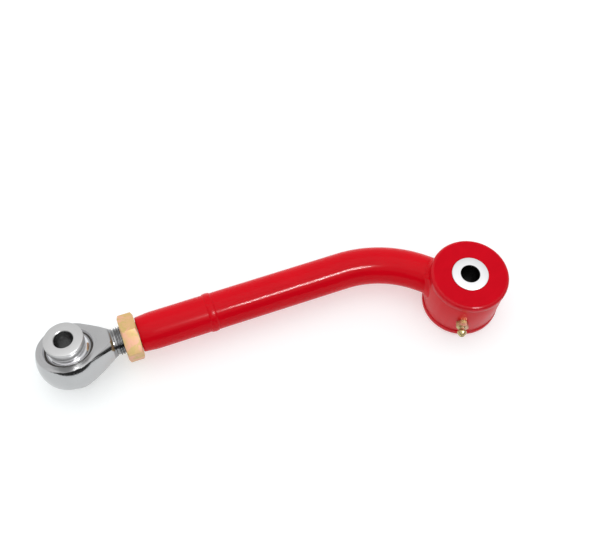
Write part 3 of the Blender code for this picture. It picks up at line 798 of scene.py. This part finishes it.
class CONTROLARM_OT_bushing_halves(ArmOperator, bpy.types.Operator):
    """Mould the two flanged polyurethane halves"""

    bl_idname = "control_arm.bushing_halves"
    bl_label = "Bushing Halves"

    def execute(self, context):
        sizes = self.arm
        finish = polyurethane("red_polyurethane", self.colours.polyurethane)
        bore = SLEEVE_RADIUS + 0.08 * MM
        barrel = SHELL_RADIUS - 3.2 * MM - 0.1 * MM
        seat = SHELL_HALF_HEIGHT + 0.25 * MM
        edge = sizes.flange_round
        outline = [(bore, FLANGE_TOP - 0.3 * MM), (bore + 0.3 * MM, FLANGE_TOP)]
        outline += arc((FLANGE_RADIUS - edge, FLANGE_TOP - edge), edge, pi / 2, 0, 10)
        outline += corner(FLANGE_RADIUS, seat, 0.8 * MM, OUTER_LOW)
        outline += [(barrel, seat), (barrel, 1.9 * MM), (barrel - 0.9 * MM, 1.0 * MM),
                    (bore, 1.0 * MM)]
        for name, turn in (("upper", 0.0), ("lower", pi)):
            half = turned("red_bushing_half_" + name, outline,
                          ON_BUSHING @ Matrix.Rotation(turn, 4, "X"), 2 * sizes.facets)
            shade(half, 40)
            dress(half, finish, "red_polyurethane", "arm", "bushing_half_" + name)
        return {"FINISHED"}


class CONTROLARM_OT_sleeve(ArmOperator, bpy.types.Operator):
    """Turn the steel sleeve that the bracket's bolt clamps"""

    bl_idname = "control_arm.sleeve"
    bl_label = "Sleeve"

    def execute(self, context):
        end = SLEEVE_HALF_LENGTH
        bore = self.rod.bolt_radius
        small = 0.35 * MM
        outline = corner(SLEEVE_RADIUS, end, small, OUTER_TOP)
        outline += corner(SLEEVE_RADIUS, -end, small, OUTER_LOW)
        outline += [(bore + small, -end), (bore, small - end), (bore, end - small),
                    (bore + small, end)]
        sleeve = turned("zinc_sleeve", outline, ON_BUSHING, self.arm.facets)
        shade(sleeve)
        # The sleeve's bore gets near-black painted shade.
        dress(sleeve, turned_metal("zinc_sleeve_plating", self.colours.zinc, ON_BUSHING, bore, 0.34,
                                   0.01 * MM, painted_bore_shade=0.015),
              "zinc_plated_steel", "sleeve", "bushing_sleeve")
        return {"FINISHED"}


class CONTROLARM_OT_grease_fitting(ArmOperator, bpy.types.Operator):
    """Turn the grease fitting with its hexagon and set the check ball in its tip"""

    bl_idname = "control_arm.grease_fitting"
    bl_label = "Grease Fitting"

    def execute(self, context):
        tip = self.reach()
        hex_top = 4.2 * MM
        head_low = hex_top + 1.9 * MM
        outline = [(0.8 * MM, tip), (1.5 * MM, tip), (1.9 * MM, tip - 0.35 * MM),
                   (2.35 * MM, tip - 1.0 * MM)]
        outline += arc((1.4 * MM, head_low + 1.5 * MM), 1.8 * MM, 0.5, -0.75, 6)
        outline += [(2.3 * MM, head_low - 0.1 * MM), (2.2 * MM, hex_top + 0.7 * MM),
                    (2.6 * MM, hex_top + 0.2 * MM), (3.2 * MM, hex_top),
                    (3.2 * MM, 0.3 * MM), (3.0 * MM, 0.1 * MM), (3.0 * MM, -3.0 * MM),
                    (0.8 * MM, -3.0 * MM), (0.8 * MM, -2.5 * MM), (1.5 * MM, -2.5 * MM),
                    (1.5 * MM, tip - 1.7 * MM)]
        fitting = turned("zinc_grease_fitting", outline, ON_FITTING, 64)
        flats = 7.2 * MM
        start_fresh()
        bpy.ops.mesh.primitive_cylinder_add(vertices=6, radius=flats / sqrt(3),
                                            depth=hex_top - 0.1 * MM)
        hexagon = bpy.context.object
        settle(hexagon, ON_FITTING @ Matrix.Translation((0, 0, hex_top / 2 + 0.05 * MM)))
        small = 0.45 * MM
        rim = flats / 2
        crown = turned("crown", [(0, hex_top), (rim, hex_top), (rim + 1.2 * MM, hex_top - small * 1.4),
                                 (rim + 1.2 * MM, 0), (0, 0)], ON_FITTING, 64, closed=False)
        combine(hexagon, crown, "INTERSECT")
        core = drum("core", 1.5 * MM, 30 * MM, ON_FITTING, 64)
        combine(hexagon, core, "DIFFERENCE")
        combine(fitting, hexagon, "UNION")
        soften(fitting, 0.12 * MM)
        shade(fitting)
        plating = yellow_zinc("fitting_plating", OLIVE_ZINC, 0.18, 0.95)
        dress(fitting, plating, "yellow_zinc", "arm", "grease_fitting_body")

        low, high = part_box("grease_fitting_ball")
        start_fresh()
        bpy.ops.mesh.primitive_uv_sphere_add(segments=32, ring_count=16, radius=(high.z - low.z) / 2,
                                             location=(low + high) / 2)
        ball = bpy.context.object
        ball.name = "steel_check_ball"
        ball.data.name = "steel_check_ball"
        settle(ball)
        shade(ball, 60)
        steel = polished_chrome("check_ball_steel", self.colours.chrome)
        dress(ball, steel, "turned_steel", "check_ball", "grease_fitting_ball")
        spring = frame["nodes"]["grease_fitting_spring"]
        wire = turned_metal("spring_wire", self.colours.turned_steel, ON_FITTING, 0.0, 0.25,
                            0.002 * MM)
        spring.data.materials.clear()
        spring.data.materials.append(wire)
        return {"FINISHED"}

    def reach(self):
        """Length of the fitting outside the shell, from the frame."""
        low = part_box("grease_fitting_body")[0]
        depth = (BUSHING.y - low.y) / -FITTING_AXIS.y
        return depth - SHELL_RADIUS - 0.80 * MM


class CONTROLARM_OT_jam_nut(ArmOperator, bpy.types.Operator):
    """Chamfer a hexagon on both faces and bore it for the thread"""

    bl_idname = "control_arm.jam_nut"
    bl_label = "Jam Nut"

    def execute(self, context):
        rod = self.rod
        start = along_arm("jam_nut", 0)
        end = along_arm("jam_nut", 1)
        middle = (start + end) / 2
        place = (ON_ARM @ Matrix.Translation((0, 0, middle))
                 @ Matrix.Rotation(pi / 6 + rod.nut_phase, 4, "Z"))
        corner_radius = rod.nut_flats / sqrt(3)
        start_fresh()
        bpy.ops.mesh.primitive_cylinder_add(vertices=6, radius=corner_radius, depth=end - start)
        nut = bpy.context.object
        nut.name = "yellow_jam_nut"
        nut.data.name = "yellow_jam_nut"
        settle(nut, place)
        half = (end - start) / 2
        face = rod.nut_flats / 2 - 0.3 * MM
        reach = corner_radius + 1.0 * MM
        slope = (reach - face) * 0.46
        bore = rod.shank_radius + 0.1 * MM
        outline = [(bore + 1.0 * MM, half), (face, half), (reach, half - slope),
                   (reach, slope - half), (face, -half), (bore + 1.0 * MM, -half),
                   (bore, 1.0 * MM - half), (bore, half - 1.0 * MM)]
        ring = turned("chamfer", outline, place, self.arm.facets)
        combine(nut, ring, "INTERSECT")
        soften(nut, 0.22 * MM, segments=3, sharper_than=20)
        shade(nut, 30)
        dress(nut, yellow_zinc("nut_plating", self.colours.yellow_zinc, 0.42, 0.22), "yellow_zinc",
              "jam_nut", "jam_nut")
        return {"FINISHED"}


class CONTROLARM_OT_rod_end_body(ArmOperator, bpy.types.Operator):
    """Turn the head and neck, mill both sides, bore the head and cut the thread"""

    bl_idname = "control_arm.rod_end_body"
    bl_label = "Rod End Body"

    def execute(self, context):
        rod = self.rod
        radius = rod.head_radius
        cone = Vector((26.6 * MM, 10.4 * MM))
        tangent = acos(radius / cone.length) + asin(cone.y / cone.length)
        outline = [(0, 30.4 * MM), (8.5 * MM, 30.4 * MM), (8.5 * MM, rod.thread_start),
                   (rod.neck_radius, rod.thread_start - 0.4 * MM)]
        outline += [(rod.neck_radius, 28.6 * MM), (rod.neck_radius + 0.10 * MM, 28.1 * MM),
                    (rod.neck_radius + 0.32 * MM, 27.7 * MM), (cone.y, cone.x)]
        steps = 56
        for index in range(steps):
            angle = tangent + (pi - tangent) * index / steps
            outline.append((radius * sin(angle), radius * cos(angle)))
        outline.append((0, -radius))
        body = turned("satin_rod_end_body", outline, ON_ARM, self.arm.facets, closed=False)
        for side in (1, -1):
            depth = 24 * MM
            lift = side * (rod.head_half_width + depth / 2)
            cutter = drum("side_mill", rod.flat_radius, depth,
                          ON_HEAD @ Matrix.Translation((0, 0, lift)), 192)
            combine(body, cutter, "DIFFERENCE")
        soften(body, 0.2 * MM, segments=3, sharper_than=25)
        combine(body, drum("race_bore", rod.race_radius + 0.02 * MM, 60 * MM, ON_HEAD, 128),
                "DIFFERENCE")
        combine(body, self.thread(rod), "UNION")
        choose(body)
        bpy.ops.object.mode_set(mode="EDIT")
        finish_edit(body)
        shade(body, 30)
        dress(body, rod_end_plating("rod_end_plating", self.colours.satin_steel, rod),
              "satin_steel", "rod_end", "rod_end_body")
        return {"FINISHED"}

    def thread(self, rod):
        """Screw one closed ridge along the shank, cap it and join it to a chamfered core."""
        pitch = rod.thread_pitch
        crest = rod.shank_radius
        root = crest - 0.61 * pitch
        sunk = root - 0.15 * MM
        first = rod.thread_start + 0.15 * MM
        shank_end = along_arm("rod_end_body", 1)
        turns = int((shank_end - first) / pitch) - 1
        start_fresh()
        bpy.ops.mesh.primitive_plane_add(size=MM, location=(0, 0, 0))
        thread = bpy.context.object
        bpy.ops.object.mode_set(mode="EDIT")
        bpy.ops.mesh.merge(type="CENTER")
        ridge = [(sunk, 0.02), (crest, 0.40), (crest, 0.52), (sunk, 0.90), (sunk, 0.02)]
        points = [Vector((radius, 0, share * pitch)) for radius, share in ridge]
        bpy.ops.transform.translate(value=points[0])
        for before, after in zip(points, points[1:]):
            bpy.ops.mesh.extrude_region_move(TRANSFORM_OT_translate={"value": after - before})
        bpy.ops.mesh.select_all(action="SELECT")
        bpy.ops.mesh.remove_doubles(threshold=0.002 * MM)
        bpy.ops.object.mode_set(mode="OBJECT")
        apply_modifier(thread, "SCREW", axis="Z", angle=tau, steps=48, render_steps=48,
                       screw_offset=pitch, iterations=turns)
        bpy.ops.object.mode_set(mode="EDIT")
        bpy.ops.mesh.select_all(action="DESELECT")
        bpy.ops.mesh.select_mode(type="EDGE")
        bpy.ops.mesh.select_non_manifold()
        bpy.ops.mesh.edge_face_add()
        bpy.ops.mesh.select_mode(type="VERT")
        finish_edit(thread)
        settle(thread, ON_ARM @ Matrix.Translation((0, 0, first)))
        outline = [(0, rod.thread_start - 1.0 * MM), (root, rod.thread_start - 1.0 * MM),
                   (root, shank_end - 0.8 * MM), (root - 0.8 * MM, shank_end), (0, shank_end)]
        core = turned("shank_core", outline, ON_ARM, 64, closed=False)
        combine(core, thread, "UNION")
        return core


class CONTROLARM_OT_race(ArmOperator, bpy.types.Operator):
    """Turn the race and the woven liner between it and the ball"""

    bl_idname = "control_arm.race"
    bl_label = "Race and Liner"

    def execute(self, context):
        rod = self.rod
        seat = rod.ball_radius + 0.75 * MM
        face = rod.head_half_width
        rim = asin((face - 1.1 * MM) / seat)
        opening = seat * cos(rim) + 0.9 * MM
        hollow = arc((0, 0), seat, -rim, rim, 24)
        outline = [(rod.race_radius, face), (rod.race_radius, -face), (opening, -face)]
        outline += hollow + [(opening, face)]
        race = turned("satin_race", outline, ON_HEAD, self.arm.facets)
        shade(race)
        dress(race, rod_end_plating("race_plating", self.colours.satin_steel, rod),
              "satin_steel", "rod_end", "rod_end_race")
        half_width = 7.7 * MM
        outer = rod.ball_radius + 0.70 * MM
        inner = rod.ball_radius + 0.12 * MM
        top = asin(half_width / outer)
        low = asin(half_width / inner)
        outline = arc((0, 0), outer, top, -top, 20) + arc((0, 0), inner, -low, low, 20)
        liner = turned("woven_liner", outline, ON_HEAD, self.arm.facets)
        shade(liner)
        dress(liner, woven_liner("woven_liner_cloth"), "liner_fabric", "liner", "rod_end_liner")
        return {"FINISHED"}


class CONTROLARM_OT_ball(ArmOperator, bpy.types.Operator):
    """Turn the chromed ball with its flats and bore"""

    bl_idname = "control_arm.ball"
    bl_label = "Ball"

    def execute(self, context):
        rod = self.rod
        edge = asin(rod.ball_half_width / rod.ball_radius)
        small = 0.5 * MM
        face = rod.ball_half_width
        outline = arc((0, 0), rod.ball_radius, edge, -edge, 64)
        outline += [(rod.bore_radius + small, -face), (rod.bore_radius, small - face),
                    (rod.bore_radius, face - small), (rod.bore_radius + small, face)]
        ball = turned("chrome_ball", outline, ON_BALL, self.arm.facets)
        soften(ball, 0.15 * MM, sharper_than=20)
        shade(ball)
        dress(ball, polished_chrome("ball_chrome", self.colours.chrome), "chromed_ball", "ball",
              "rod_end_ball")
        return {"FINISHED"}


class CONTROLARM_OT_spacers(ArmOperator, bpy.types.Operator):
    """Turn both stepped spacers and fit their O-rings"""

    bl_idname = "control_arm.spacers"
    bl_label = "Spacers"

    def execute(self, context):
        rod = self.rod
        # The spacers' bores get painted shade at 0.60 of the steel's colour.
        steel = turned_metal("spacer_steel", self.colours.turned_steel, ON_BALL, rod.bolt_radius,
                             0.24, 0.012 * MM, painted_bore_shade=0.60)
        end = rod.spacer_length
        seat = rod.ball_half_width + 0.12 * MM
        wide = rod.spacer_radius
        stem = 9.35 * MM
        bore = rod.bolt_radius
        small = 0.45 * MM
        ring_at = 6.0 * MM
        outline = corner(wide, end, small, OUTER_TOP)
        outline += [(wide, 16.5 * MM), (wide - 0.15 * MM, 16.2 * MM), (12.2 * MM, 15.9 * MM),
                    (12.05 * MM, 15.7 * MM), (12.1 * MM, 15.3 * MM), (12.0 * MM, 14.6 * MM),
                    (11.6 * MM, 13.2 * MM), (11.3 * MM, seat + 0.5 * MM),
                    (11.1 * MM, seat), (stem, seat), (stem, ring_at + 0.7 * MM),
                    (stem - 0.9 * MM, ring_at + 0.7 * MM), (stem - 0.9 * MM, ring_at - 0.7 * MM),
                    (stem, ring_at - 0.7 * MM), (stem, 0.9 * MM), (stem - 0.4 * MM, 0.5 * MM),
                    (bore + 0.3 * MM, 0.5 * MM), (bore, 0.8 * MM), (bore, end - 0.5 * MM),
                    (bore + 0.5 * MM, end)]
        for name, turn in (("upper", 0.0), ("lower", pi)):
            place = ON_BALL @ Matrix.Rotation(turn, 4, "X")
            spacer = turned("steel_spacer_" + name, outline, place, self.arm.facets)
            shade(spacer)
            dress(spacer, steel, "turned_steel", name + "_spacer", "spacer_" + name)
            start_fresh()
            bpy.ops.mesh.primitive_torus_add(major_radius=stem - 0.45 * MM, minor_radius=0.5 * MM,
                                             major_segments=96, minor_segments=16)
            ring = bpy.context.object
            ring.name = "rubber_oring_" + name
            ring.data.name = "rubber_oring_" + name
            settle(ring, place @ Matrix.Translation((0, 0, ring_at)))
            shade(ring, 60)
            dress(ring, rubber("oring_rubber_" + name), "black_rubber", name + "_spacer",
                  "spacer_oring_" + name)
        return {"FINISHED"}


# The stage

def strip_light(name, direction, distance, width, height, power):
    """A narrow lamp that only shows as a highlight in glossy surfaces."""
    lamp = bpy.data.lights.new(name, "AREA")
    lamp.shape = "RECTANGLE"
    lamp.size = width
    lamp.size_y = height
    lamp.energy = power
    box = bpy.data.objects.new(name, lamp)
    bpy.context.scene.collection.objects.link(box)
    aim = Vector(direction).normalized()
    box.location = aim * distance
    box.rotation_euler = aim.to_track_quat("Z", "Y").to_euler()
    box.visible_diffuse = False


def dim_room(name):
    """A room with a bright tent over the table, darker towards the floor on the camera's side."""
    world = bpy.data.worlds.new(name)
    world.use_nodes = True
    room = Nodes(world.node_tree)
    direction = room.node("ShaderNodeTexCoord", {}, {}, output="Generated")
    x, y, z = room.parts(direction)
    tent = (z + y * 0.42).above(0.16, 0.08)
    overhead = z.above(0.85, 0.10)
    sky = world.node_tree.nodes["Background"]
    brightness = 0.04 + tent * 0.86 + overhead * 0.7
    world.node_tree.links.new(brightness.socket, sky.inputs["Strength"])
    sky.inputs["Color"].default_value = (1.0, 1.0, 1.0, 1.0)
    return world


class CONTROLARM_OT_stage(ArmOperator, bpy.types.Operator):
    """Lay the pale floor, hang the soft lights and set up the camera"""

    bl_idname = "control_arm.stage"
    bl_label = "Stage"

    def execute(self, context):
        scene = context.scene
        settings = scene.stage_settings
        start_fresh()
        low_end = Vector((ROD_END.x, 0, CAD_BOX[0].z))
        high_end = Vector((BUSHING.x, 0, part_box("bushing_sleeve")[0].z))
        slope = atan2(high_end.z - low_end.z, high_end.x - low_end.x)
        bpy.ops.mesh.primitive_plane_add(size=6.0, location=low_end - Vector((0, 0, 0.05 * MM)),
                                         rotation=(0, -slope, 0))
        floor = context.object
        floor.name = "pale_floor"
        floor.data.materials.append(floor_paper("pale_floor"))

        scene.world = dim_room("studio")
        strip_light("strip_light", (0.21, -0.52, 0.83), 1.4, 0.34, 0.18, 18.0)

        lens = bpy.data.cameras.new("camera")
        lens.sensor_fit = "HORIZONTAL"
        lens.sensor_width = 36.0
        lens.lens = settings.focal_length
        lens.shift_y = settings.framing_shift
        lens.clip_start = 0.01
        camera = bpy.data.objects.new("camera", lens)
        scene.collection.objects.link(camera)
        azimuth = settings.camera_azimuth
        elevation = settings.camera_elevation
        back = Vector((sin(azimuth) * cos(elevation), -cos(azimuth) * cos(elevation),
                       sin(elevation)))
        level = Matrix.Rotation(azimuth, 4, "Z") @ Matrix.Rotation(pi / 2 - elevation, 4, "X")
        camera.matrix_world = (Matrix.Translation(BUSHING + Vector(settings.camera_place))
                               @ level @ Matrix.Rotation(settings.camera_roll, 4, "Z"))
        if back.dot(camera.matrix_world.col[2].to_3d()) < 0.999:
            raise RuntimeError("the camera doesn't look along its own axis")
        scene.camera = camera
        scene.view_settings.view_transform = "Standard"
        return {"FINISHED"}


class CONTROLARM_PT_sidebar(bpy.types.Panel):
    """Lists the pieces of the control arm"""

    bl_idname = "CONTROLARM_PT_sidebar"
    bl_label = "Control Arm"
    bl_space_type = "VIEW_3D"
    bl_region_type = "UI"
    bl_category = "Control Arm"

    def draw(self, context):
        for operator in OPERATORS:
            self.layout.operator(operator.bl_idname)


GROUPS = {"arm_sizes": ArmSizes, "rod_end_sizes": RodEndSizes, "finish_colours": FinishColours,
          "stage_settings": StageSettings}
OPERATORS = (
    CONTROLARM_OT_tube,
    CONTROLARM_OT_bung,
    CONTROLARM_OT_shell,
    CONTROLARM_OT_bushing_halves,
    CONTROLARM_OT_sleeve,
    CONTROLARM_OT_grease_fitting,
    CONTROLARM_OT_jam_nut,
    CONTROLARM_OT_rod_end_body,
    CONTROLARM_OT_race,
    CONTROLARM_OT_ball,
    CONTROLARM_OT_spacers,
    CONTROLARM_OT_stage,
)


def register():
    for group in GROUPS.values():
        bpy.utils.register_class(group)
    for name, group in GROUPS.items():
        setattr(bpy.types.Scene, name, PointerProperty(type=group))
    for operator in OPERATORS:
        bpy.utils.register_class(operator)
    bpy.utils.register_class(CONTROLARM_PT_sidebar)


def unregister():
    bpy.utils.unregister_class(CONTROLARM_PT_sidebar)
    for operator in reversed(OPERATORS):
        bpy.utils.unregister_class(operator)
    for name, group in GROUPS.items():
        delattr(bpy.types.Scene, name)
        bpy.utils.unregister_class(group)


def main():
    register()
    bpy.ops.control_arm.tube()
    bpy.ops.control_arm.bung()
    bpy.ops.control_arm.shell()
    bpy.ops.control_arm.bushing_halves()
    bpy.ops.control_arm.sleeve()
    bpy.ops.control_arm.grease_fitting()
    bpy.ops.control_arm.jam_nut()
    bpy.ops.control_arm.rod_end_body()
    bpy.ops.control_arm.race()
    bpy.ops.control_arm.ball()
    bpy.ops.control_arm.spacers()
    bpy.ops.control_arm.stage()


if __name__ == "__main__":
    main()
